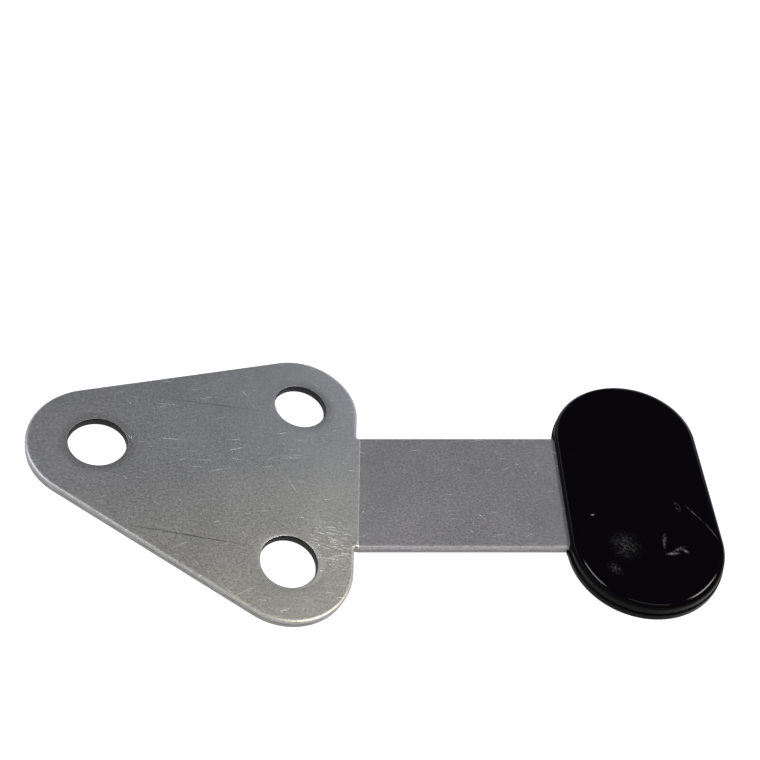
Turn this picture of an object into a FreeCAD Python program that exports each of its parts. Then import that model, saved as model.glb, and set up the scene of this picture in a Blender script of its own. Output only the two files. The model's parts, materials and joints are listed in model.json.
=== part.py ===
import FreeCAD, Part
import math
import os

# Floor door holder: a flat plate screwed to the floor, a leaf-spring tongue that rises from the
# plate's front edge, and a moulded rubber pad around the tongue's widened head.
# Millimetres and degrees. The underside of the plate is Z = 0 and +X runs towards the pad.
# The origin is on the underside, at the centroid of the three screw holes.

# Sheet steel
SHEET = 2.0               # thickness of the stamped blank, plate and tongue alike
EDGE_ROUND = 0.25         # die roll on the plate's upper outline

# Plate
HOLE_DIAMETER = 12.0      # the three screw holes
HOLE_ROWS = 42.5          # lengthwise distance from the rear hole to the front pair
HOLE_SPACING = 42.2       # crosswise distance between the front pair
REAR_RADIUS = 14.4        # plate's rounded tail, concentric with the rear hole
FRONT_RADIUS = 13.8       # plate's two front corners, concentric with the front holes

# Bend
BEND_SETBACK = 0.85       # plate's front edge to the bend line, on the upper face
BEND_ANGLE = 17.5         # rise of the tongue above the plate's plane
ROOT_FILLET = 0.4         # inner corners where the tongue leaves the plate
FLEX_CLEARANCE = 0.05     # radial gap around the tongue's rounded root

# Tongue
TONGUE_WIDTH = 30.0
TONGUE_LENGTH = 44.6      # bend line to the pad's near side, along the upper face

# Pad
PAD_WIDTH = 33.0          # across the pad, along the tongue
PAD_LENGTH = 60.8         # along the pad, across the tongue
PAD_ABOVE = 1.75          # rubber on the tongue's upper face
PAD_BELOW = 1.15          # rubber under the tongue's lower face
PAD_SHOULDER = 1.5        # rounding of the pad's upper rim
PAD_LOWER_ROUND = 0.4     # rounding of the pad's lower rim
PAD_WALL = 3.0            # rubber around the head's outline
LIP_REACH = 1.0           # how far the mould's lips follow the tongue's two edges
LIP_WIDTH = 0.7           # how far the lips stand off those edges

# Head of the tongue, inside the pad
KEY_DIAMETER = 7.0        # holes that the rubber is moulded through
KEY_PITCH = 17.0          # distance between neighbouring key holes
KEY_COUNT = 3

# Places worked out from the sizes above
HALF_SHEET = SHEET / 2
FRONT_HOLE_X = HOLE_ROWS / 3
REAR_HOLE_X = FRONT_HOLE_X - HOLE_ROWS
HALF_SPACING = HOLE_SPACING / 2
PLATE_EDGE_X = FRONT_HOLE_X + FRONT_RADIUS
BEND_X = PLATE_EDGE_X + BEND_SETBACK
BEND_SHIFT = HALF_SHEET * math.tan(math.radians(BEND_ANGLE / 2))
AXIS_X = BEND_X + BEND_SHIFT
PAD_CENTRE = BEND_SHIFT + TONGUE_LENGTH + PAD_WIDTH / 2

UP = FreeCAD.Vector(0, 0, 1)
ACROSS = FreeCAD.Vector(0, 1, 0)
ZERO = FreeCAD.Vector(0, 0, 0)
HOLE_CENTRES = [
    (REAR_HOLE_X, 0),
    (FRONT_HOLE_X, -HALF_SPACING),
    (FRONT_HOLE_X, HALF_SPACING),
]


def vector(x, y, z=0.0):
    return FreeCAD.Vector(x, y, z)


def slab(edges, bottom, height):
    """Upright prism on a closed outline drawn at Z = 0."""
    face = Part.Face(Part.Wire(Part.__sortEdges__(edges)))
    face.translate(vector(0, 0, bottom))
    return face.extrude(vector(0, 0, height))


def on_circle(centre, radius, angle):
    """Point on a circle in plan; the angle is in radians from +X."""
    return vector(centre[0] + radius * math.cos(angle), centre[1] + radius * math.sin(angle))


def arc(centre, radius, start, end):
    """Arc in plan from one angle to another, in radians, through their middle."""
    points = [on_circle(centre, radius, a) for a in (start, (start + end) / 2, end)]
    return Part.Arc(*points).toShape()


def plate_outline():
    """Rounded triangle: a tail arc, two corner arcs and the straight lines tangent to them."""
    run = FRONT_HOLE_X - REAR_HOLE_X
    spread = math.hypot(run, HALF_SPACING)
    # Direction of the side's outward normal, the same at both of its tangent points.
    normal = math.atan2(HALF_SPACING, run) + math.acos((REAR_RADIUS - FRONT_RADIUS) / spread)
    rear = HOLE_CENTRES[0]
    right = HOLE_CENTRES[1]
    left = HOLE_CENTRES[2]
    return [
        arc(rear, REAR_RADIUS, normal, 2 * math.pi - normal),
        Part.makeLine(on_circle(rear, REAR_RADIUS, -normal), on_circle(right, FRONT_RADIUS, -normal)),
        arc(right, FRONT_RADIUS, -normal, 0),
        Part.makeLine(on_circle(right, FRONT_RADIUS, 0), on_circle(left, FRONT_RADIUS, 0)),
        arc(left, FRONT_RADIUS, 0, normal),
        Part.makeLine(on_circle(left, FRONT_RADIUS, normal), on_circle(rear, REAR_RADIUS, normal)),
    ]


def stadium(centre_x, width, length):
    """Outline with straight sides along Y and semicircular ends; width is along X."""
    radius = width / 2
    end_y = length / 2 - radius
    left = centre_x - radius
    right = centre_x + radius
    return [
        arc((centre_x, end_y), radius, 0, math.pi),
        Part.makeLine(vector(left, end_y), vector(left, -end_y)),
        arc((centre_x, -end_y), radius, math.pi, 2 * math.pi),
        Part.makeLine(vector(right, -end_y), vector(right, end_y)),
    ]


def edges_at(shape, height):
    """Edges of a shape that lie wholly in the plane Z = height."""
    level = []
    for edge in shape.Edges:
        box = edge.BoundBox
        if abs(box.ZMin - height) < 1e-6 and abs(box.ZMax - height) < 1e-6:
            level.append(edge)
    return level


def root_corner(side):
    """Small fillet between the plate's front edge and one edge of the tongue's root."""
    edge_y = TONGUE_WIDTH / 2
    block = Part.makeBox(
        ROOT_FILLET, ROOT_FILLET, SHEET, vector(PLATE_EDGE_X, edge_y, 0)
    )
    round_cut = Part.makeCylinder(
        ROOT_FILLET, SHEET, vector(PLATE_EDGE_X + ROOT_FILLET, edge_y + ROOT_FILLET, 0)
    )
    corner = block.cut(round_cut)
    if side < 0:
        corner = corner.mirror(ZERO, ACROSS)
    return corner


def mounting_plate():
    """Flat plate with three screw holes and the short root that the tongue bends up from."""
    plate = slab(plate_outline(), 0, SHEET)
    plate = plate.makeFillet(EDGE_ROUND, edges_at(plate, SHEET))
    overlap = FRONT_RADIUS / 2
    root = Part.makeBox(
        AXIS_X - PLATE_EDGE_X + overlap,
        TONGUE_WIDTH,
        SHEET,
        vector(PLATE_EDGE_X - overlap, -TONGUE_WIDTH / 2, 0),
    )
    plate = plate.fuse([root, root_corner(1), root_corner(-1)])
    # Hollow end of the root, around the tongue's rounded end.
    socket = Part.makeCylinder(
        HALF_SHEET + FLEX_CLEARANCE,
        2 * TONGUE_WIDTH,
        vector(AXIS_X, -TONGUE_WIDTH, HALF_SHEET),
        ACROSS,
    )
    holes = [
        Part.makeCylinder(HOLE_DIAMETER / 2, SHEET, vector(x, y, 0)) for x, y in HOLE_CENTRES
    ]
    return plate.cut([socket] + holes).removeSplitter()


def raise_from_bend(shape):
    """Move a shape from the tongue's own frame to the bend.

    In its own frame the tongue lies flat along +X with its middle plane at Z = 0, and its
    flexing axis is the Y axis.
    """
    shape.rotate(ZERO, ACROSS, -BEND_ANGLE)
    shape.translate(vector(AXIS_X, 0, HALF_SHEET))
    return shape


def flat_tongue():
    """Strip with a full-round root and a wide rounded head that has the key holes."""
    strip = Part.makeBox(
        PAD_CENTRE, TONGUE_WIDTH, SHEET, vector(0, -TONGUE_WIDTH / 2, -HALF_SHEET)
    )
    nose = Part.makeCylinder(
        HALF_SHEET, TONGUE_WIDTH, vector(0, -TONGUE_WIDTH / 2, 0), ACROSS
    )
    head = slab(
        stadium(PAD_CENTRE, PAD_WIDTH - 2 * PAD_WALL, PAD_LENGTH - 2 * PAD_WALL),
        -HALF_SHEET,
        SHEET,
    )
    keys = []
    for number in range(KEY_COUNT):
        key_y = (number - (KEY_COUNT - 1) / 2) * KEY_PITCH
        keys.append(
            Part.makeCylinder(KEY_DIAMETER / 2, SHEET, vector(PAD_CENTRE, key_y, -HALF_SHEET))
        )
    return strip.fuse([nose, head]).cut(keys).removeSplitter()


def spring_tongue():
    """Leaf-spring tongue of the same sheet as the plate."""
    return raise_from_bend(flat_tongue())


def lip(side):
    """Pointed lip of rubber along one edge of the tongue, where it enters the pad."""
    edge_y = side * TONGUE_WIDTH / 2
    near_x = PAD_CENTRE - PAD_WIDTH / 2
    root_x = near_x + PAD_SHOULDER
    points = [
        vector(near_x - LIP_REACH, edge_y),
        vector(root_x, edge_y + side * LIP_WIDTH),
        vector(root_x, edge_y),
    ]
    corners = points + [points[0]]
    edges = [Part.makeLine(corners[i], corners[i + 1]) for i in range(len(points))]
    return slab(edges, -HALF_SHEET, SHEET)


def pad():
    """Rubber pad moulded around the head: its cavity is the head's own shape, keys included."""
    bottom = -HALF_SHEET - PAD_BELOW
    top = HALF_SHEET + PAD_ABOVE
    body = slab(stadium(PAD_CENTRE, PAD_WIDTH, PAD_LENGTH), bottom, top - bottom)
    body = body.makeFillet(PAD_SHOULDER, edges_at(body, top))
    body = body.makeFillet(PAD_LOWER_ROUND, edges_at(body, bottom))
    body = body.fuse([lip(1), lip(-1)])
    return raise_from_bend(body.cut(flat_tongue()).removeSplitter())


NODES = {
    "mounting_plate": mounting_plate,
    "spring_tongue": spring_tongue,
    "rubber_pad": pad,
}

os.makedirs("parts", exist_ok=True)
for name, make in NODES.items():
    shape = make()
    box = shape.BoundBox
    print(name, "solids", len(shape.Solids), "valid", shape.isValid(), "volume", round(shape.Volume, 2))
    print("   box", [round(v, 3) for v in (box.XMin, box.YMin, box.ZMin, box.XMax, box.YMax, box.ZMax)])
    shape.exportStep("parts/" + name + ".step")
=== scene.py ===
import json
import math

import bmesh
import bpy
from mathutils import Matrix, Vector, noise
from mathutils.geometry import delaunay_2d_cdt


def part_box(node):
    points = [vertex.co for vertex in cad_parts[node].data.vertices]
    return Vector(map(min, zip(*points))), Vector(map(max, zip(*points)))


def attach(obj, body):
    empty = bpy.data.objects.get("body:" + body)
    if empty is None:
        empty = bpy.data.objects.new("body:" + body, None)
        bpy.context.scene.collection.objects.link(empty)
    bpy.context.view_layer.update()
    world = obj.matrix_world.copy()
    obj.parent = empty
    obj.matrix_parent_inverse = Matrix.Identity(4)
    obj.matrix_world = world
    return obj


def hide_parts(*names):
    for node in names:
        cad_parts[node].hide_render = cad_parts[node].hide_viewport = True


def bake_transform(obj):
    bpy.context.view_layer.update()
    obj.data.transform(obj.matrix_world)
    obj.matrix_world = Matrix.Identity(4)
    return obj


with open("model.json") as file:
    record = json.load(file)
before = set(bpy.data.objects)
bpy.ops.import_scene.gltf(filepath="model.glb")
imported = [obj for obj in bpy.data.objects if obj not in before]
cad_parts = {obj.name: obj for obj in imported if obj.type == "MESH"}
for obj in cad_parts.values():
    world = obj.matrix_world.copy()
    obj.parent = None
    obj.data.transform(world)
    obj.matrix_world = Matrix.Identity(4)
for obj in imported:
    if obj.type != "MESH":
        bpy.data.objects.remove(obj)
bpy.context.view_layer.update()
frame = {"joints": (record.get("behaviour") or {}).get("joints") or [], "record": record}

# Everything below is worked out in millimetres in the row frame; MM turns it into metres.
MM = 0.001

# ---------------------------------------------------------------- sizes from the frame
MOUNTS = {mount["name"]: mount for mount in frame["record"]["mounts"]}
HOLES = [MOUNTS[name] for name in ("rear_hole", "front_hole_right", "front_hole_left")]
HOLE_CENTRES = [Vector(mount["pos_m"][:2]) / MM for mount in HOLES]
HOLE_RADIUS = HOLES[0]["dims"]["r_mm"]
PLATE_LOW, PLATE_HIGH = (Vector(corner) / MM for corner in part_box("mounting_plate"))
HINGE = Vector(frame["joints"][0]["pos_m"]) / MM
SHEET = PLATE_HIGH.z - PLATE_LOW.z
HALF = SHEET / 2
REAR_RADIUS = HOLE_CENTRES[0].x - PLATE_LOW.x
FRONT_RADIUS = PLATE_HIGH.y - HOLE_CENTRES[2].y
PLATE_EDGE = HOLE_CENTRES[1].x + FRONT_RADIUS
PAD_LENGTH = (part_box("rubber_pad")[1].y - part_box("rubber_pad")[0].y) / MM

# ---------------------------------------------------------------- sizes that part.py drives
BEND_ANGLE = math.radians(17.5)
ROOT_FILLET = 0.4
TONGUE_WIDTH = 30.0
TONGUE_LENGTH = 44.6
PAD_WIDTH = 33.0
PAD_ABOVE = 1.75
PAD_BELOW = 1.15
PAD_WALL = 3.0
KEY_RADIUS = 3.5
KEY_PITCH = 17.0

BEND_RADIUS = 2.0            # of the sheet's middle plane
BEND_SHIFT = HALF * math.tan(BEND_ANGLE / 2)
BEND_TANGENT = BEND_RADIUS * math.tan(BEND_ANGLE / 2)
BEND_ARC = BEND_RADIUS * BEND_ANGLE
BEND_STEPS = 6
BEND_START = HINGE.x - BEND_TANGENT
BEND_LINE = HINGE.x - BEND_SHIFT
PAD_CENTRE = BEND_SHIFT + TONGUE_LENGTH + PAD_WIDTH / 2


def along_tongue(s, across, height):
    """Row-frame point for a place s along the tongue from the bend's axis."""
    x = HINGE.x + s * math.cos(BEND_ANGLE) - height * math.sin(BEND_ANGLE)
    z = HINGE.z + s * math.sin(BEND_ANGLE) + height * math.cos(BEND_ANGLE)
    return Vector((x, across, z))


def s_to_flat(s):
    """Place on the flat blank for a distance s along the tongue from the bend's axis."""
    return s + BEND_START + BEND_ARC - BEND_TANGENT


def bent(u, across, height):
    """Row-frame point for a place on the flat blank; height is from its middle plane."""
    if u <= BEND_START:
        return Vector((u, across, HALF + height))
    turn = min((u - BEND_START) / BEND_RADIUS, BEND_ANGLE)
    rest = u - BEND_START - BEND_RADIUS * turn
    reach = BEND_RADIUS - height
    x = BEND_START + reach * math.sin(turn) + rest * math.cos(turn)
    z = HALF + BEND_RADIUS - reach * math.cos(turn) + rest * math.sin(turn)
    return Vector((x, across, z))


# ---------------------------------------------------------------- outlines
def arc_run(centre, radius, start, end, step=0.5, hollow=False):
    """Points and outward normals along an arc; hollow means that the material is outside it."""
    count = max(6, round(abs(end - start) * radius / step))
    run = []
    for i in range(count + 1):
        angle = start + (end - start) * i / count
        direction = Vector((math.cos(angle), math.sin(angle)))
        run.append((centre + direction * radius, -direction if hollow else direction))
    return run


def line_run(start, end, step=0.8, stops=()):
    """Points between two ends, which are left out, with the normal to the right of travel."""
    travel = end - start
    normal = Vector((travel.y, -travel.x)).normalized()
    count = max(1, round(travel.length / step))
    shares = {i / count for i in range(1, count)}
    for stop in stops:
        shares.add((stop - start.x) / travel.x)
    return [(start + travel * share, normal) for share in sorted(shares) if 0.0 < share < 1.0]


def bend_columns():
    """Places on the flat blank where the sheet has a row of points across the bend."""
    return [BEND_START + BEND_ARC * i / BEND_STEPS for i in range(BEND_STEPS + 1)]


def blank_outline():
    """Counter-clockwise outline of the flat blank: plate, tongue and head."""
    rear, right, left = HOLE_CENTRES
    run = right.x - rear.x
    lean = math.atan2(left.y, run) + math.acos((REAR_RADIUS - FRONT_RADIUS) / math.hypot(run, left.y))
    side = TONGUE_WIDTH / 2
    head_radius = PAD_WIDTH / 2 - PAD_WALL
    head_centre = s_to_flat(PAD_CENTRE)
    head_y = PAD_LENGTH / 2 - PAD_WALL - head_radius
    dip = math.asin((side - head_y) / head_radius)
    neck = head_centre - head_radius * math.cos(dip)

    tail = arc_run(rear, REAR_RADIUS, lean, 2 * math.pi - lean)
    corner = arc_run(right, FRONT_RADIUS, -lean, 0)
    root_centre = Vector((PLATE_EDGE + ROOT_FILLET, -side - ROOT_FILLET))
    root = arc_run(root_centre, ROOT_FILLET, math.pi, math.pi / 2, step=0.08, hollow=True)
    head = arc_run(Vector((head_centre, -head_y)), head_radius, math.pi + dip, 2 * math.pi)
    lower = tail[len(tail) // 2:]
    lower += line_run(tail[-1][0], corner[0][0])
    lower += corner
    lower += line_run(corner[-1][0], root[0][0])
    lower += root
    lower += line_run(root[-1][0], Vector((neck, -side)), stops=bend_columns())
    lower += head
    upper = [(Vector((p.x, -p.y)), Vector((n.x, -n.y))) for p, n in reversed(lower)]
    head_side = line_run(lower[-1][0], upper[0][0])
    return lower + head_side + upper[:-1]


def circle_outline(centre, radius, step=0.5):
    return arc_run(centre, radius, 0, 2 * math.pi, step, hollow=True)[:-1]


def key_outlines():
    """The head's holes, which the rubber is moulded through."""
    centre = s_to_flat(PAD_CENTRE)
    return [circle_outline(Vector((centre, i * KEY_PITCH)), KEY_RADIUS, 1.0) for i in (-1, 0, 1)]


def inside(point, loop):
    """Whether a point is inside a closed loop of points."""
    odd = False
    last = loop[-1]
    for here in loop:
        if (here.y > point.y) != (last.y > point.y):
            cross = here.x + (point.y - here.y) * (last.x - here.x) / (last.y - here.y)
            if point.x < cross:
                odd = not odd
        last = here
    return odd


# ---------------------------------------------------------------- the steel sheet
GRID = 1.6                   # spacing of the points inside the sheet's faces
CLEARANCE = 0.6              # and how far they stay from the rings round its edges
SLIVER = 0.002               # smaller triangles, in square millimetres, lie along a straight edge
SLIVER_ROUNDS = 3
# The punch rolls the upper rim over, shears the wall below it and breaks away the rest.
OUTER_ROLL = (0.75, 0.32)    # inset and depth of the rolled rim round the blank
HOLE_ROLL = (0.20, 0.20)     # and round a hole
ROLL_STEPS = 7
RIM_MARGIN = 0.12            # between the rolled rim and the flat face
SHEAR_LINE = 0.05            # height where the sheared band of the wall ends
SEAM = 0.05                  # how far above and below it the wall changes
BREAK_INSET = 0.06           # how far the broken band stands back
FOOT = 0.25                  # height of the lowest part of the wall
BURR = 0.05
BURR_WIDTH = 0.04
DISH_RINGS = (2.4, 1.7, 1.2, 0.8, 0.5)     # extra rings round a hole, for the dish
DISH = 0.14                  # how deep the sheet is drawn down at a hole's rim
DISH_REACH = 0.7             # and how quickly that fades
ROOT_TEAR = Vector((BEND_LINE - 0.5, -TONGUE_WIDTH / 2 + 0.5))
TEAR_LIFT = 0.16             # the metal stands up at that corner of the root
TEAR_REACH = 0.55
SLOW_WAVE = 0.03             # heights of the two waves that the rolled sheet keeps
QUICK_WAVE = 0.012
CUT_FACE, HOLE_FACE = 1, 2   # the sheet's second and third material
HOLE_FACE_TOP = HALF - 0.02  # a hole's rim is part of its wall below this height


def edge_rings(roll, depth, apron=()):
    """Rings of the cut edge from the upper face to the lower: inset, height, and whether rolled."""
    rings = [(inset, HALF, True) for inset in (*apron, roll + RIM_MARGIN)]
    for i in range(ROLL_STEPS):
        angle = math.pi / 2 * i / (ROLL_STEPS - 1)
        rings.append((roll * (1 - math.sin(angle)), HALF - depth * (1 - math.cos(angle)), True))
    rings.append((0.0, SHEAR_LINE + SEAM, False))
    rings.append((BREAK_INSET * 0.7, SHEAR_LINE - SEAM, False))
    rings.append((BREAK_INSET, -HALF + FOOT, False))
    rings.append((BREAK_INSET, -HALF + BURR, False))
    rings.append((BREAK_INSET + BURR_WIDTH, -HALF, False))
    rings.append((BREAK_INSET + BURR_WIDTH + 0.10, -HALF, False))
    return rings


def wave(u, v):
    """Slight unevenness of the rolled sheet, in millimetres."""
    slow = noise.noise(Vector((u / 26.0, v / 21.0, 3.1)))
    quick = noise.noise(Vector((u / 9.0, v / 7.0, 8.7)))
    dish = 0.0
    for centre in HOLE_CENTRES:
        rim = math.hypot(u - centre.x, v - centre.y) - HOLE_RADIUS
        if rim < 6 * DISH_REACH:
            dish += DISH * math.exp(-max(rim, 0.0) / DISH_REACH)
    torn = (Vector((u, v)) - ROOT_TEAR).length_squared / TEAR_REACH ** 2
    return SLOW_WAVE * slow + QUICK_WAVE * quick - dish + TEAR_LIFT * math.exp(-torn)


def largest_region(triangles, fences):
    """The triangles of the largest region that the fences, pairs of corners, mark off."""
    sides = {}
    for number, corners in enumerate(triangles):
        for i, corner in enumerate(corners):
            sides.setdefault(frozenset((corner, corners[i - 1])), []).append(number)
    links = [[] for _ in triangles]
    for side, pair in sides.items():
        if side not in fences and len(pair) == 2:
            links[pair[0]].append(pair[1])
            links[pair[1]].append(pair[0])
    left = set(range(len(triangles)))
    largest = []
    while left:
        region = [left.pop()]
        for number in region:
            found = [other for other in links[number] if other in left]
            left.difference_update(found)
            region += found
        largest = max(largest, region, key=len)
    return [triangles[number] for number in largest]


def flip_slivers(bm):
    """Divide each flat triangle and the one on its long side the other way, to get two sound ones."""
    for _ in range(SLIVER_ROUNDS):
        triangles = [face for face in bm.faces if len(face.verts) == 3]
        for face in [face for face in triangles if face.calc_area() < SLIVER * MM ** 2]:
            if face.is_valid:
                longest = max(face.edges, key=lambda edge: edge.calc_length())
                bmesh.utils.edge_rotate(longest, False)


def inner_points(loops):
    """A grid of points within the first loop and outside the others, with extra columns at the bend."""
    outer, *holes = loops
    boundary = [p for loop in loops for p in loop]
    low_x = min(p.x for p in outer)
    high_x = max(p.x for p in outer)
    reach = max(p.y for p in outer)
    rows = int(2 * reach / GRID)
    columns = [low_x + GRID * i for i in range(1, int((high_x - low_x) / GRID) + 1)]
    columns += bend_columns()
    found = []
    for x in columns:
        for j in range(rows + 1):
            p = Vector((x, -reach + 2 * reach * j / rows))
            if not inside(p, outer) or any(inside(p, hole) for hole in holes):
                continue
            if min((p - q).length_squared for q in boundary) >= CLEARANCE ** 2:
                found.append(p)
    return found


def fill_face(bm, loops, height_at, upward):
    """Triangles between closed loops of (flat point, vertex); the first is the outer one."""
    points = []
    owners = []
    edges = []
    for loop in loops:
        first = len(points)
        points += [p for p, _ in loop]
        owners += [v for _, v in loop]
        edges += [(first + i, first + (i + 1) % len(loop)) for i in range(len(loop))]
    inner = inner_points([[p for p, _ in loop] for loop in loops])
    points += inner
    owners += [None] * len(inner)
    # The fourth value, 0, keeps every triangle, so the ones outside and in the holes are left to drop.
    coords, _, triangles, ids, _, _ = delaunay_2d_cdt(points, edges, [], 0, 1e-5, True)
    flat = bm.verts.layers.float_vector["flat"]
    verts = []
    for p, sources in zip(coords, ids):
        owner = owners[sources[0]] if sources else None
        if owner is None:
            height = height_at(p)
            owner = bm.verts.new(bent(p.x, p.y, height) * MM)
            owner[flat] = (p.x, p.y, height)
        verts.append(owner)
    for triangle in largest_region(triangles, {frozenset(edge) for edge in edges}):
        corners = [verts[i] for i in triangle]
        bm.faces.new(corners if upward else corners[::-1])


def wall_grid(bm, outline, rings):
    """Rows of (flat point, vertex), one row for each ring."""
    flat = bm.verts.layers.float_vector["flat"]
    grid = []
    for inset, height, rolled in rings:
        row = []
        for point, normal in outline:
            p = point - normal * inset
            lift = wave(p.x, p.y) if rolled else 0.0
            vert = bm.verts.new(bent(p.x, p.y, height + lift) * MM)
            vert[flat] = (p.x, p.y, height)
            row.append((p, vert))
        grid.append(row)
    return grid


def wall_faces(bm, grid, rings, is_hole):
    """Quads between the rows; a hole's run the other way, because its wall faces inwards."""
    wall = bm.faces.layers.int["wall"]
    count = len(grid[0])
    for upper, lower, (_, height, rolled) in zip(grid, grid[1:], rings[1:]):
        for i in range(count):
            j = (i + 1) % count
            quad = [upper[i][1], lower[i][1], lower[j][1], upper[j][1]]
            face = bm.faces.new(quad[::-1] if is_hole else quad)
            if is_hole and height < HOLE_FACE_TOP:
                face[wall] = HOLE_FACE
            elif not rolled:
                face[wall] = CUT_FACE


def sheet_mesh():
    """The whole blank with rolled and sheared edges, bent once at the tongue's root."""
    bm = bmesh.new()
    bm.verts.layers.float_vector.new("flat")
    bm.faces.layers.int.new("wall")
    outlines = [blank_outline()]
    outlines += [circle_outline(centre, HOLE_RADIUS, 0.4) for centre in HOLE_CENTRES]
    outlines += key_outlines()
    tops = []
    bottoms = []
    for number, outline in enumerate(outlines):
        is_hole = number > 0
        rings = edge_rings(*HOLE_ROLL, DISH_RINGS) if is_hole else edge_rings(*OUTER_ROLL)
        grid = wall_grid(bm, outline, rings)
        wall_faces(bm, grid, rings, is_hole)
        tops.append(grid[0])
        bottoms.append(grid[-1])
    fill_face(bm, tops, lambda p: HALF + wave(p.x, p.y), True)
    fill_face(bm, bottoms, lambda p: -HALF, False)
    flip_slivers(bm)
    return bm


def finish_mesh(bm, name, materials):
    """Mesh object from a bmesh, smooth all over, with its materials."""
    mesh = bpy.data.meshes.new(name)
    bm.normal_update()
    bm.to_mesh(mesh)
    bm.free()
    mesh.shade_smooth()
    for material in materials:
        mesh.materials.append(material)
    piece = bpy.data.objects.new(name, mesh)
    bpy.context.collection.objects.link(piece)
    return piece


# ---------------------------------------------------------------- the rubber pad
PAD_TOP = HALF + PAD_ABOVE
PAD_BOTTOM = -HALF - PAD_BELOW
PAD_RADIUS = PAD_WIDTH / 2
MIDDLE_GAP = 0.4             # half the width of the slot that close_middle closes
TOP_INSETS = (PAD_RADIUS - MIDDLE_GAP, 14.0, 11.0, 8.0, 5.5, 3.8, 2.6, 2.0)
BOTTOM_INSETS = (0.9, 2.0, 5.0, 9.0, 13.0, PAD_RADIUS - MIDDLE_GAP)
END_STEPS = 120              # points round each end of the pad
SIDE_STEPS = 40              # and along each side
SHOULDER = 1.5
SHOULDER_STEPS = 14
TONGUE_SHOULDER = 2.3        # on the tongue's side the shoulder reaches further in
UPPER_INSET = 0.25           # the upper wall stands back from the base of the pad
STEP_HEIGHT = -0.2           # and meets it at a small step
STEP_DEPTH = 0.2
STEP_SHARES = (0.0, 0.15, 0.35, 0.6, 0.8, 1.0)
WALL_HEIGHTS = (0.9, 0.4)    # rings of the upper wall, above the step
WALL_TOP = 2.25              # below this height the pad has its duller finish
BASE_HEIGHT = -0.9
LOWER_ROUND = 0.4
LOWER_STEPS = 5
LIP_REACH = 0.5              # the rubber runs out along the tongue's edges
LIP_WIDTH = 0.7
LIP_LOW, LIP_HIGH = -1.4, 1.3     # heights between which the lips run
SHOULDER_ROOM = 0.9          # rings further in leave this room for the wider shoulder
GLOSSY, DULL = range(2)      # material slots of the pad


def pad_rings():
    """Rings of the pad from the middle of its top to the middle of its bottom: inset and height."""
    rings = [(inset, PAD_TOP) for inset in TOP_INSETS]
    for i in range(SHOULDER_STEPS + 1):
        angle = math.pi / 2 * i / SHOULDER_STEPS
        inset = UPPER_INSET + SHOULDER * (1 - math.sin(angle))
        rings.append((inset, PAD_TOP - SHOULDER * (1 - math.cos(angle))))
    rings += [(UPPER_INSET, height) for height in (*WALL_HEIGHTS, STEP_HEIGHT + STEP_DEPTH)]
    for share in STEP_SHARES:
        angle = math.pi / 2 * share
        inset = UPPER_INSET * (1 - math.sin(angle))
        rings.append((inset, STEP_HEIGHT - STEP_DEPTH * (1 - math.cos(angle))))
    rings += [(0.0, BASE_HEIGHT), (0.0, PAD_BOTTOM + LOWER_ROUND + 0.05)]
    for i in range(1, LOWER_STEPS + 1):
        angle = math.pi / 2 * i / LOWER_STEPS
        inset = LOWER_ROUND * (1 - math.cos(angle))
        rings.append((inset, PAD_BOTTOM + LOWER_ROUND * (1 - math.sin(angle))))
    rings += [(inset, PAD_BOTTOM) for inset in BOTTOM_INSETS]
    return rings


def pad_directions():
    """Round the pad: each point's centre of curvature across it, and its outward direction."""
    end = PAD_LENGTH / 2 - PAD_RADIUS
    directions = []
    for side in (1, -1):
        for i in range(END_STEPS + 1):
            angle = math.pi * i / END_STEPS + (0 if side > 0 else math.pi)
            directions.append((side * end, Vector((math.cos(angle), math.sin(angle)))))
        for i in range(1, SIDE_STEPS):
            directions.append((side * (end - 2 * end * i / SIDE_STEPS), Vector((-side, 0))))
    return directions


def pad_point(centre, direction, inset, height):
    """Place across the pad and along the tongue of one point of a ring."""
    widened = 1 + (TONGUE_SHOULDER / SHOULDER - 1) * max(0.0, -direction.x) ** 6
    shift = inset * widened if inset < 2 * SHOULDER else inset + SHOULDER_ROOM
    radius = PAD_RADIUS - min(shift, PAD_RADIUS - MIDDLE_GAP)
    across = centre + direction.y * radius
    s = PAD_CENTRE + direction.x * radius
    if direction.x < 0 and LIP_LOW < height < LIP_HIGH:
        s -= LIP_REACH * max(0.0, 1 - abs(abs(across) - TONGUE_WIDTH / 2) / LIP_WIDTH)
    return across, s


def close_middle(bm, ring, upward, material):
    """Cross strips over the long slot that is left in the middle of the pad's top or bottom."""
    tip = END_STEPS // 2
    count = len(ring)
    for k in range(count // 2):
        corners = [ring[(tip + shift) % count] for shift in (-k, k, k + 1, -k - 1)]
        corners = list(dict.fromkeys(corners))
        face = bm.faces.new(corners if upward else corners[::-1])
        face.material_index = material


def pad_mesh():
    """The pad as rings from the middle of its top, over its rim and down its wall, to the underside."""
    bm = bmesh.new()
    flat = bm.verts.layers.float_vector.new("flat")
    rings = pad_rings()
    directions = pad_directions()
    grid = []
    for inset, height in rings:
        row = []
        for centre, direction in directions:
            across, s = pad_point(centre, direction, inset, height)
            vert = bm.verts.new(along_tongue(s, across, height) * MM)
            vert[flat] = (s - PAD_CENTRE, across, height)
            row.append(vert)
        grid.append(row)
    for upper, lower, (_, height) in zip(grid, grid[1:], rings):
        for i in range(len(upper)):
            j = (i + 1) % len(upper)
            face = bm.faces.new([upper[i], lower[i], lower[j], upper[j]])
            face.material_index = DULL if height < WALL_TOP else GLOSSY
    close_middle(bm, grid[0], True, GLOSSY)
    close_middle(bm, grid[-1], False, DULL)
    return bm


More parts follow.
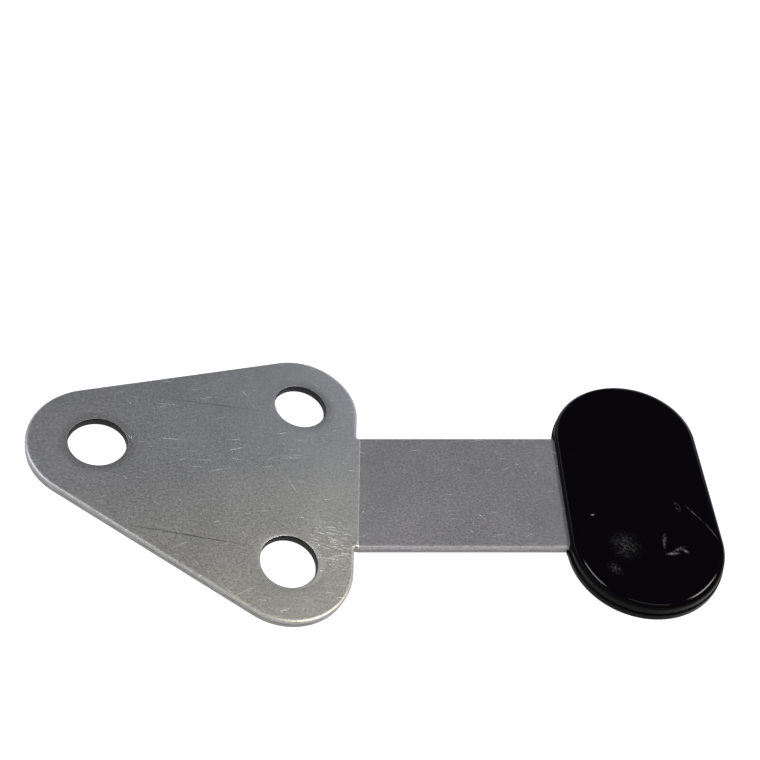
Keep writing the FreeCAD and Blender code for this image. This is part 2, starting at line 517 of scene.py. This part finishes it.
# ---------------------------------------------------------------- materials
# Base colours, linear.
STEEL_DARK = (0.375, 0.375, 0.38, 1)
STEEL_LIGHT = (0.60, 0.595, 0.60, 1)
# Painted light: a cool, darker tint stands for shade at the far left, and a warm, lighter one for the warm
# lamp's light towards the front right hole.
COOL_SHADE_TINT = (0.96, 0.975, 1.04, 1)
WARM_LIGHT_TINT = (1.11, 1.10, 1.02, 1)
TONGUE_TINT = (1.0, 0.985, 1.03, 1)
# Painted shade round the holes.
HOLE_HALO_SHADE = (0.16, 0.16, 0.17, 1)
# Dark of the hairlines; also painted shade in the corner at the tongue's root.
HAIRLINE_AND_SHADE = (0.10, 0.10, 0.11, 1)
# Painted highlight on the rim of the front right hole.
RIM_HIGHLIGHT = (0.95, 0.95, 0.95, 1)
# Bright scratches, and the painted highlight along the bend.
SCRATCH_AND_HIGHLIGHT = (0.95, 0.95, 0.94, 1)
SHEARED = ((0.16, 0.16, 0.165, 1), (0.40, 0.40, 0.40, 1))
BROKEN = ((0.12, 0.12, 0.125, 1), (0.32, 0.32, 0.31, 1))
# Near-black colours of a hole's wall, which stand for the shade inside the hole.
PUNCHED_AND_SHADED = ((0.003, 0.003, 0.0035, 1), (0.030, 0.030, 0.033, 1))
# Painted shade along the step in the cut edge.
SEAM_SHADE = (0.04, 0.04, 0.045, 1)
WALL_BLACK = (0.0016, 0.0015, 0.0020, 1)
WALL_SPECK = (0.20, 0.20, 0.20, 1)
PAD_BLACK = (0.0018, 0.0012, 0.0026, 1)
PAD_WEAR = (0.24, 0.24, 0.24, 1)
RUBBER_IOR = 1.45


class Shader:
    """A node material with short calls for the nodes that the finishes share."""

    def __init__(self, name):
        self.material = bpy.data.materials.new(name)
        self.material.use_nodes = True
        self.tree = self.material.node_tree
        self.surface = self.tree.nodes["Principled BSDF"]

    def node(self, kind, inputs=None, **settings):
        made = self.tree.nodes.new("ShaderNode" + kind)
        for key, value in settings.items():
            setattr(made, key, value)
        for key, value in (inputs or {}).items():
            self.put(made.inputs[key], value)
        return made

    def put(self, socket, value):
        if isinstance(value, bpy.types.NodeSocket):
            self.tree.links.new(value, socket)
        else:
            socket.default_value = value

    def math(self, operation, a, b=0.0):
        return self.node("Math", {0: a, 1: b}, operation=operation).outputs[0]

    def ramp(self, value, low, high, out_low=0.0, out_high=1.0):
        inputs = {"Value": value, "From Min": low, "From Max": high, "To Min": out_low, "To Max": out_high}
        return self.node("MapRange", inputs, clamp=True).outputs[0]

    def place(self, vector, scale=(1, 1, 1), turn=0.0, shift=(0, 0, 0)):
        inputs = {"Vector": vector, "Location": shift, "Rotation": (0, 0, turn), "Scale": scale}
        return self.node("Mapping", inputs, vector_type="TEXTURE").outputs[0]

    def noise(self, vector, scale=1.0, detail=2.0, roughness=0.5):
        inputs = {"Vector": vector, "Scale": scale, "Detail": detail, "Roughness": roughness}
        return self.node("TexNoise", inputs).outputs[0]

    def mix(self, factor, a, b):
        made = self.node("Mix", data_type="RGBA", clamp_factor=True)
        self.put(made.inputs[0], factor)
        self.put(made.inputs[6], a)
        self.put(made.inputs[7], b)
        return made.outputs[2]

    def mix_value(self, factor, a, b):
        made = self.node("Mix", data_type="FLOAT", clamp_factor=True)
        self.put(made.inputs[0], factor)
        self.put(made.inputs[2], a)
        self.put(made.inputs[3], b)
        return made.outputs[0]

    def multiply(self, a, b):
        made = self.node("Mix", data_type="RGBA", blend_type="MULTIPLY")
        self.put(made.inputs[0], 1.0)
        self.put(made.inputs[6], a)
        self.put(made.inputs[7], b)
        return made.outputs[2]

    def split(self, vector):
        return self.node("SeparateXYZ", {0: vector}).outputs

    def flat(self):
        return self.node("Attribute", attribute_name="flat").outputs["Vector"]

    def finish(self, **inputs):
        for key, value in inputs.items():
            self.put(self.surface.inputs[key.replace("_", " ")], value)
        return self.material


def scratches(shader, vector, turn, length, width, level):
    """Short straight scratches in one direction, from 0 to 1."""
    stretched = shader.place(vector, (length, width, 1.0), turn, (turn * 31, turn * 17, 0))
    lines = shader.noise(stretched, 1.0, 1.0, 0.4)
    return shader.ramp(lines, level, level + 0.05)


def patch(shader, vector, middle, size, turn=0.0, core=0.3):
    """Soft-edged oval mask, from 1 inside to 0 at its rim; size is its length and width."""
    place = shader.place(vector, (size[0] / 2, size[1] / 2, 20.0), turn, (*middle, 0.0))
    distance = shader.node("VectorMath", {0: place}, operation="LENGTH").outputs["Value"]
    return shader.ramp(distance, core, 1.0, 1.0, 0.0)


def together(shader, masks):
    """The strongest of several masks."""
    total = masks[0]
    for mask in masks[1:]:
        total = shader.math("MAXIMUM", total, mask)
    return total


# The clearest scratches: middle x and y, length, and direction in degrees.
CLEAR_SCRATCHES = [
    (-2.5, -1.5, 7.5, 25), (8, -10, 4, 15), (13.5, 5.5, 8, 15),
    (6, -29.5, 6.5, 35), (-8, -21.5, 5, 35), (14, -2.5, 5.5, -55),
]
# Thin dark lines along the plate: the same, and their strength.
HAIRLINES = [(-6.5, -19, 30, 0, 0.9), (-8.5, 16, 33, 5, 0.55)]
HALO_SHADE_SHARES = (0.50, 0.10, 0.35)     # how much painted shade darkens each hole's surround


def face_marks(shader, flat):
    """Bright scratches of the face: scattered ones, a rubbed area by the root, and single ones."""
    scattered = together(shader, [
        scratches(shader, flat, 0.12, 7.0, 0.30, 0.735),
        scratches(shader, flat, 0.50, 6.0, 0.28, 0.745),
        scratches(shader, flat, -0.75, 4.0, 0.26, 0.76),
    ])
    rubbed = shader.math(
        "MULTIPLY",
        together(shader, [
            scratches(shader, flat, -0.06, 3.4, 0.24, 0.62),
            scratches(shader, flat, 0.15, 2.4, 0.22, 0.65),
        ]),
        patch(shader, flat, (22.5, -15), (15, 17), 0.0, 0.3),
    )
    single = [
        patch(shader, flat, (x, y), (length, 0.36), math.radians(turn), 0.2)
        for x, y, length, turn in CLEAR_SCRATCHES
    ]
    breaks = shader.ramp(shader.noise(flat, 1.7, 3.0, 0.6), 0.40, 0.56)
    single = shader.math("MULTIPLY", together(shader, single), breaks)
    return together(shader, [scattered, rubbed, single])


def hairlines(shader, flat):
    """Thin dark lines along the plate, with breaks."""
    lines = [
        shader.math("MULTIPLY", patch(shader, flat, (x, y), (length, 0.42), math.radians(turn), 0.2), share)
        for x, y, length, turn, share in HAIRLINES
    ]
    breaks = shader.ramp(shader.noise(flat, 0.35, 2.0, 0.5), 0.3, 0.6, 0.45, 1.0)
    return shader.math("MULTIPLY", together(shader, lines), breaks)


def steel_colour(shader, flat, mottle, grain):
    """Cloudy grey of the sheet, with painted light: darker and cooler towards the far left, lighter and
    warmer towards the front right hole.
    """
    x, y, _ = shader.split(flat)
    cloud = shader.noise(flat, 0.07, 3.0, 0.55)
    gradient_wobble = shader.noise(shader.place(flat, (7, 5, 5), 0.3), 1.0, 2.0, 0.5)
    cross = shader.noise(shader.place(flat, (0.16, 3.5, 1.0)), 1.0, 1.0, 0.5)
    tone = shader.math("ADD", shader.math("MULTIPLY", cloud, 0.5), mottle)
    tone = shader.math("ADD", tone, shader.math("MULTIPLY", grain, 0.6))
    tone = shader.math("ADD", tone, shader.math("MULTIPLY", cross, 0.25))
    colour = shader.mix(shader.ramp(tone, 0.85, 1.50), STEEL_DARK, STEEL_LIGHT)
    # Painted light and shade across the plate, broken up by noise; past the bend line the tongue has a
    # flat, slightly purple tint instead.
    light_gradient = shader.math("SUBTRACT", shader.math("MULTIPLY", x, 0.5), y)
    light_gradient = shader.math("ADD", light_gradient, shader.math("MULTIPLY", gradient_wobble, 14.0))
    tint_and_painted_light = shader.mix(shader.ramp(light_gradient, 0, 40), COOL_SHADE_TINT, WARM_LIGHT_TINT)
    tint_and_painted_light = shader.mix(shader.ramp(x, BEND_LINE, BEND_LINE + 0.5), tint_and_painted_light, TONGUE_TINT)
    return shader.multiply(colour, tint_and_painted_light)


def hole_surrounds(shader, flat, colour, upper):
    """Painted shade round each hole, and a painted highlight in a crescent at the front right one."""
    # Painted shade: a dark halo round each hole.
    for centre, share in zip(HOLE_CENTRES, HALO_SHADE_SHARES):
        halo_shade = shader.math("MULTIPLY", patch(shader, flat, centre, (16.5, 16.5), 0.0, 0.74), share)
        colour = shader.mix(shader.math("MULTIPLY", halo_shade, upper), colour, HOLE_HALO_SHADE)
    # Painted highlight: a bright crescent at the front right hole's rim.
    highlight_middle = HOLE_CENTRES[1] + Vector((0.9, -0.1))
    rim_highlight = shader.math("MULTIPLY", patch(shader, flat, highlight_middle, (13.8, 12.6), 0.0, 0.9), 0.55)
    return shader.mix(shader.math("MULTIPLY", rim_highlight, upper), colour, RIM_HIGHLIGHT)


def bend_highlight(shader, flat, upper):
    """Painted highlight: a bright broken line along the bend, where its curve catches the light."""
    x, _, _ = shader.split(flat)
    distance = shader.math("ABSOLUTE", shader.math("SUBTRACT", x, BEND_LINE + 0.05))
    line = shader.math("MULTIPLY", shader.ramp(distance, 0.12, 0.30, 1.0, 0.0), upper)
    breaks = shader.ramp(shader.noise(flat, 1.1, 3.0, 0.7), 0.3, 0.6, 0.4, 1.0)
    return shader.math("MULTIPLY", line, breaks)


def steel_face():
    """Bare rolled sheet steel; its marks are on the upper side only."""
    shader = Shader("steel_face")
    flat = shader.flat()
    _, _, height = shader.split(flat)
    upper = shader.ramp(height, -0.2, 0.2)
    mottle = shader.noise(flat, 1.9, 3.0, 0.7)
    grain = shader.noise(shader.place(flat, (1.2, 0.22, 0.5)), 1.0, 2.0, 0.6)
    colour = steel_colour(shader, flat, mottle, grain)
    colour = hole_surrounds(shader, flat, colour, upper)
    marks = shader.math("MULTIPLY", face_marks(shader, flat), upper)
    lines = shader.math("MULTIPLY", hairlines(shader, flat), upper)
    # Painted shade: a small dark patch in the inner corner at the tongue's root.
    root_corner_shade = patch(shader, flat, (BEND_LINE - 0.2, -TONGUE_WIDTH / 2 + 0.1), (1.3, 0.7), 0.5, 0.4)
    colour = shader.mix(shader.math("MAXIMUM", lines, root_corner_shade), colour, HAIRLINE_AND_SHADE)
    # Bright scratches and the painted highlight along the bend.
    scratches_and_highlight = together(shader, [marks, bend_highlight(shader, flat, upper)])
    colour = shader.mix(scratches_and_highlight, colour, SCRATCH_AND_HIGHLIGHT)
    rolled = shader.math("MULTIPLY", shader.ramp(height, HALF - 0.20, HALF - 0.01, 1.0, 0.0), upper)
    roughness = shader.ramp(mottle, 0.3, 0.7, 0.36, 0.46)
    roughness = shader.math("ADD", roughness, shader.math("MULTIPLY", rolled, 0.22))
    relief = shader.math("ADD", shader.math("MULTIPLY", mottle, 0.6), shader.math("MULTIPLY", grain, 0.6))
    relief = shader.math("SUBTRACT", relief, shader.math("ADD", marks, lines))
    bump = shader.node("Bump", {"Height": relief, "Distance": 0.000012, "Strength": 0.8})
    return shader.finish(
        Base_Color=colour, Metallic=0.85, Roughness=roughness, Normal=bump.outputs[0]
    )


def cut_edge():
    """Outer edge of the blank: a bright sheared band over a dull broken one, with painted shade along the
    step between them.
    """
    shader = Shader("steel_cut_edge")
    flat = shader.flat()
    _, _, height = shader.split(flat)
    streaks = shader.noise(shader.place(flat, (0.25, 0.25, 3.0)), 1.0, 3.0, 0.6)
    rough = shader.noise(flat, 3.0, 3.0, 0.6)
    sheared = shader.mix(streaks, *SHEARED)
    broken = shader.mix(rough, *BROKEN)
    colour = shader.mix(shader.ramp(height, SHEAR_LINE - 0.1, SHEAR_LINE + 0.1), broken, sheared)
    # Painted shade: a dark broken line in the step where the two bands meet.
    seam_shade = shader.math("ABSOLUTE", shader.math("SUBTRACT", height, SHEAR_LINE))
    seam_shade = shader.ramp(seam_shade, 0.05, 0.22, 1.0, 0.0)
    seam_shade = shader.math("MULTIPLY", seam_shade, shader.ramp(shader.noise(flat, 0.25, 3.0, 0.6), 0.42, 0.6))
    colour = shader.mix(seam_shade, colour, SEAM_SHADE)
    bump = shader.node("Bump", {"Height": shader.math("ADD", streaks, rough), "Distance": 0.00004})
    return shader.finish(Base_Color=colour, Metallic=0.7, Roughness=0.5, Normal=bump.outputs[0])


def hole_wall():
    """Wall of a punched hole: near black with painted shade, with the punch's streaks, and a little lighter
    lower down.
    """
    shader = Shader("steel_hole_wall")
    flat = shader.flat()
    _, _, height = shader.split(flat)
    streaks = shader.noise(shader.place(flat, (0.3, 0.3, 4.0)), 1.0, 3.0, 0.6)
    lower = shader.ramp(height, -HALF, SHEAR_LINE, 0.35, 0.0)
    tone = shader.math("ADD", shader.ramp(streaks, 0.35, 0.7), lower)
    # Painted shade: the near-black colours stand for the shade inside the hole; the streaks are the
    # punch's.
    colour = shader.mix(tone, *PUNCHED_AND_SHADED)
    bump = shader.node("Bump", {"Height": streaks, "Distance": 0.00006})
    material = shader.finish(Base_Color=colour, Roughness=0.75, Normal=bump.outputs[0])
    shader.surface.inputs["Specular IOR Level"].default_value = 0.2
    return material


# Strokes of the pad's angular scuff: middle along and across the pad, length, and direction.
SCUFF_STROKES = [
    (3.5, -14.5, 4.5, 80), (5.7, -16.8, 4.6, 30), (7.4, -17.0, 2.2, -50), (4.6, -17.6, 3.4, 5),
]


def rubber_wall():
    """Side of the pad below its rim: duller, with the mould's fine speckle."""
    shader = Shader("pad_wall")
    flat = shader.flat()
    fine = shader.noise(flat, 1.5, 4.0, 0.8)
    specks = shader.ramp(shader.noise(flat, 2.2, 2.0, 0.6), 0.70, 0.78, 0.0, 0.35)
    colour = shader.mix(specks, WALL_BLACK, WALL_SPECK)
    roughness = shader.ramp(fine, 0.3, 0.7, 0.14, 0.30)
    bump = shader.node("Bump", {"Height": fine, "Distance": 0.00005, "Strength": 0.6})
    material = shader.finish(Base_Color=colour, Roughness=roughness, Normal=bump.outputs[0], IOR=RUBBER_IOR)
    shader.surface.inputs["Specular IOR Level"].default_value = 0.03
    return material


def pad_wear(shader, flat, fine):
    """How worn the pad's top is: dust, an angular scuff, a long scratch, a ring and specks."""
    specks = shader.ramp(shader.noise(flat, 2.6, 2.0, 0.6), 0.78, 0.83)
    dust = shader.ramp(fine, 0.46, 0.72)
    broken = shader.ramp(fine, 0.44, 0.58)
    dusty = together(shader, [
        patch(shader, flat, (-5.0, -15.5), (8, 9), 0.3, 0.0),
        patch(shader, flat, (-8.0, -21.2), (3, 5), 0.6, 0.0),
    ])
    dusty = shader.math("POWER", dusty, 1.8)
    strokes = together(shader, [
        patch(shader, flat, (s, y), (length, 0.9), math.radians(turn), 0.1)
        for s, y, length, turn in SCUFF_STROKES
    ])
    scratch = together(shader, [
        patch(shader, flat, (11.3, -7.6), (6.5, 0.5), math.radians(-55), 0.2),
        patch(shader, flat, (14.0, -12.0), (5.5, 0.5), math.radians(-65), 0.2),
    ])
    oval = patch(shader, flat, (8.0, -5.8), (1.3, 2.9), 0.2, 0.6)
    hollow = shader.math("MULTIPLY", oval, patch(shader, flat, (8.1, -5.8), (0.7, 2.0), 0.2, 0.5))
    ring = shader.math("SUBTRACT", oval, hollow)
    shares = [
        (specks, 0.5),
        (shader.math("MULTIPLY", dusty, dust), 0.55),
        (shader.math("MULTIPLY", strokes, broken), 0.9),
        (shader.math("MULTIPLY", ring, dust), 0.5),
        (shader.math("MULTIPLY", scratch, broken), 0.35),
        (patch(shader, flat, (-10.7, -7.8), (0.9, 0.5), 0.0, 0.5), 0.9),
    ]
    return together(shader, [shader.math("MULTIPLY", mask, share) for mask, share in shares])


def black_rubber():
    """Glossy moulded rubber of the pad's top, less glossy towards its wall."""
    shader = Shader("pad_black")
    flat = shader.flat()
    _, _, height = shader.split(flat)
    on_top = shader.ramp(height, PAD_TOP - 1.3, PAD_TOP - 0.3)
    fine = shader.noise(flat, 1.5, 4.0, 0.8)
    smear = shader.noise(shader.place(flat, (9, 2.5, 5)), 1.0, 4.0, 0.6)
    wear = pad_wear(shader, flat, fine)
    colour = shader.mix(wear, PAD_BLACK, PAD_WEAR)
    side_roughness = shader.ramp(fine, 0.3, 0.7, 0.26, 0.42)
    top_roughness = shader.ramp(smear, 0.3, 0.75, 0.06, 0.14)
    roughness = shader.mix_value(on_top, side_roughness, top_roughness)
    roughness = shader.math("ADD", roughness, shader.math("MULTIPLY", wear, 0.4))
    skin = shader.math("MULTIPLY", fine, shader.ramp(on_top, 0.0, 1.0, 0.8, 0.05))
    relief = shader.math("ADD", shader.math("ADD", shader.math("MULTIPLY", smear, 0.3), wear), skin)
    bump = shader.node("Bump", {"Height": relief, "Distance": 0.00003, "Strength": 0.5})
    material = shader.finish(Base_Color=colour, Roughness=roughness, Normal=bump.outputs[0], IOR=RUBBER_IOR)
    shader.surface.inputs["Specular IOR Level"].default_value = 0.2
    return material


def build_object():
    """The two pieces: one sheet that bends between the plate and the tongue, and the pad."""
    sheet_bm = sheet_mesh()
    wall = sheet_bm.faces.layers.int["wall"]
    for face in sheet_bm.faces:
        face.material_index = face[wall]
    sheet = finish_mesh(sheet_bm, "steel_sheet", [steel_face(), cut_edge(), hole_wall()])
    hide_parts("mounting_plate", "spring_tongue")
    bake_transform(sheet)
    pad = finish_mesh(pad_mesh(), "pad_cover", [black_rubber(), rubber_wall()])
    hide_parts("rubber_pad")
    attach(pad, "tongue")


# ---------------------------------------------------------------- floor, lights, camera
FLOOR_SIZE = 30.0            # metres
FLOOR_DROP = 0.00005         # metres between the floor and the plate's underside
# The room's brightness over the height of a direction, from the horizon up.
ROOM_FADE = {"From Min": 0.10, "From Max": 0.34, "To Min": 0.60, "To Max": 0.05}
# Direction with the tongue level, distance and size in metres, radiance, colour.
LAMPS = [
    ("right_box", (0.70, -0.04, 0.68), 0.7, (0.32, 0.12), 23.0, (1.0, 0.97, 0.89)),
    ("left_box", (-0.40, 0.05, 0.92), 0.7, (0.34, 0.10), 18.0, (1, 1, 1)),
    ("back_box", (0.60, 0.80, 0.32), 0.8, (0.5, 0.3), 1.5, (0.85, 0.93, 1.0)),
    ("side_box", (-0.74, 0.60, 0.30), 0.8, (0.6, 0.35), 0.7, (1, 1, 1)),
    ("front_box", (0.15, -0.60, 0.78), 0.9, (0.6, 0.2), 1.6, (1, 1, 1)),
]
# The camera with the tongue level: millimetres from the top of the bend line, and degrees down.
CAMERA_OFFSET = Vector((4.587, -130.41, 176.09))
CAMERA_PITCH = math.radians(47.05)
LENS_MM = 46.42
SENSOR_MM = 36.0


def floor():
    """White floor that shines by itself, so that it stays blank, as it is in the photo."""
    shader = Shader("floor_white")
    shader.finish(
        Base_Color=(0.3, 0.3, 0.3, 1), Roughness=0.9,
        Emission_Color=(1, 1, 1, 1), Emission_Strength=0.98,
    )
    bpy.ops.mesh.primitive_plane_add(size=FLOOR_SIZE, location=(0, 0, -FLOOR_DROP))
    plane = bpy.context.object
    plane.name = "floor"
    plane.data.materials.append(shader.material)


def aim(thing, target):
    """Turn a lamp towards a point."""
    direction = Vector(target) - thing.location
    thing.rotation_mode = "QUATERNION"
    thing.rotation_quaternion = direction.to_track_quat("-Z", "Y")


def level_to_row(v):
    """Direction given with the tongue level, as the camera sees it, turned into the row frame."""
    cosine, sine = math.cos(BEND_ANGLE), math.sin(BEND_ANGLE)
    return Vector((v[0] * cosine - v[2] * sine, v[1], v[0] * sine + v[2] * cosine))


def softbox(name, direction, distance, size, radiance, colour):
    """Rectangular lamp that faces the object; its brightness doesn't depend on its size."""
    data = bpy.data.lights.new(name, "AREA")
    data.shape = "RECTANGLE"
    data.size, data.size_y = size
    data.energy = radiance * math.pi * size[0] * size[1]
    data.color = colour
    lamp = bpy.data.objects.new(name, data)
    target = Vector((BEND_LINE * MM, 0, 0.01))
    lamp.location = target + level_to_row(direction).normalized() * distance
    bpy.context.collection.objects.link(lamp)
    aim(lamp, target)


def room():
    """Pale surroundings that darken upwards, so that the gloss shows the lamps and little else."""
    world = bpy.data.worlds.new("room")
    world.use_nodes = True
    tree = world.node_tree
    background = tree.nodes["Background"]
    background.inputs["Color"].default_value = (1, 1, 1, 1)
    direction = tree.nodes.new("ShaderNodeTexCoord").outputs["Generated"]
    split = tree.nodes.new("ShaderNodeSeparateXYZ")
    fade = tree.nodes.new("ShaderNodeMapRange")
    for name, value in ROOM_FADE.items():
        fade.inputs[name].default_value = value
    tree.links.new(direction, split.inputs[0])
    tree.links.new(split.outputs["Z"], fade.inputs["Value"])
    tree.links.new(fade.outputs[0], background.inputs["Strength"])
    bpy.context.scene.world = world


def lights():
    for lamp in LAMPS:
        softbox(*lamp)


def camera():
    """The camera is given in the tongue's frame: level with the tongue, over the bend."""
    data = bpy.data.cameras.new("camera")
    data.lens = LENS_MM
    data.sensor_width = SENSOR_MM
    data.clip_start = 0.005
    cam = bpy.data.objects.new("camera", data)
    bpy.context.collection.objects.link(cam)
    x_axis = level_to_row((1, 0, 0))
    z_axis = -level_to_row((0, math.cos(CAMERA_PITCH), -math.sin(CAMERA_PITCH)))
    axes = Matrix((x_axis, z_axis.cross(x_axis), z_axis))
    cam.matrix_world = axes.transposed().to_4x4()
    cam.location = (Vector((BEND_LINE, 0, SHEET)) + level_to_row(CAMERA_OFFSET)) * MM
    bpy.context.scene.camera = cam


bpy.context.scene.view_settings.view_transform = "Standard"
camera()
build_object()
floor()
room()
lights()
